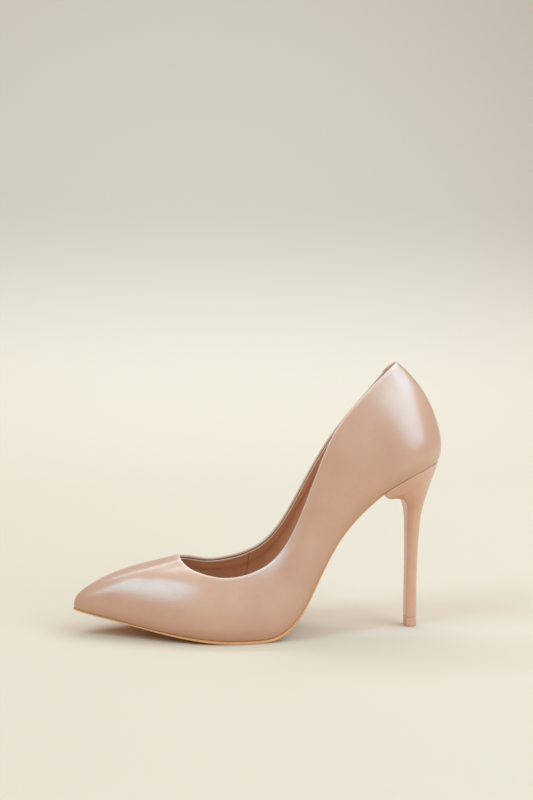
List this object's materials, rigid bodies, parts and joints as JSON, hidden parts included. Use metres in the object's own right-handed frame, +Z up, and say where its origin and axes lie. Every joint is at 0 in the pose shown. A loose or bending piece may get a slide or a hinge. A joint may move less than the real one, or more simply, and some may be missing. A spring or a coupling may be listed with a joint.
{
  "type": "high heel pump",
  "caption": "Pointed-toe leather court shoe with a low-cut topline and a slim stiletto heel of about 100 mm.",
  "frame": {"origin": "middle of the base of the shoe's box, on the ground that the sole and the heel tip stand on", "axes": "+Z up, -X towards the toe, -Y towards the outer (lateral) side of this left shoe"},
  "size_m": [0.2232, 0.077, 0.1627],
  "materials": {
    "nude_leather": "semi-gloss smooth leather",
    "heel_leather": "semi-gloss smooth leather, stretched over the heel",
    "lining_leather": "matt lining leather",
    "sock_leather": "matt lining leather",
    "sole_leather": "smooth sole with a painted edge",
    "woven_tape": "woven nylon",
    "felt": "pressed felt",
    "foam": "latex foam",
    "thermoplastic_sheet": "matt sheet",
    "cellulose_board": "pressed board",
    "fibre_board": "dense pressed board",
    "heel_abs": "moulded",
    "tip_polyurethane": "moulded, matt",
    "spring_steel": "blued spring steel",
    "rivet_steel": "plain",
    "zinc_steel": "zinc plated"
  },
  "bodies": {
    "shoe": {"upper": "nude_leather", "topline_tape": "woven_tape", "back_tab": "nude_leather", "vamp_lining": "lining_leather", "quarter_lining": "lining_leather", "toe_puff": "thermoplastic_sheet", "heel_counter": "thermoplastic_sheet", "insole_board": "cellulose_board", "shank_board": "fibre_board", "shank": "spring_steel", "shank_rivets": "rivet_steel", "forepart_filler": "felt", "forepart_pad": "foam", "heel_pad": "foam", "sock_lining": "sock_leather", "outsole": "sole_leather", "heel_core": "heel_abs", "heel_cover": "heel_leather", "heel_tube": "spring_steel", "heel_screw": "zinc_steel", "heel_nails": "zinc_steel"},
    "wear_tip": {"heel_tip": "tip_polyurethane", "heel_tip_pin": "zinc_steel"}
  },
  "joints": [
    {"name": "heel_tip_pull", "type": "slide", "parent": "shoe", "child": "wear_tip", "axis": [0, 0, -1], "range_m": [0, 0.018]}
  ]
}
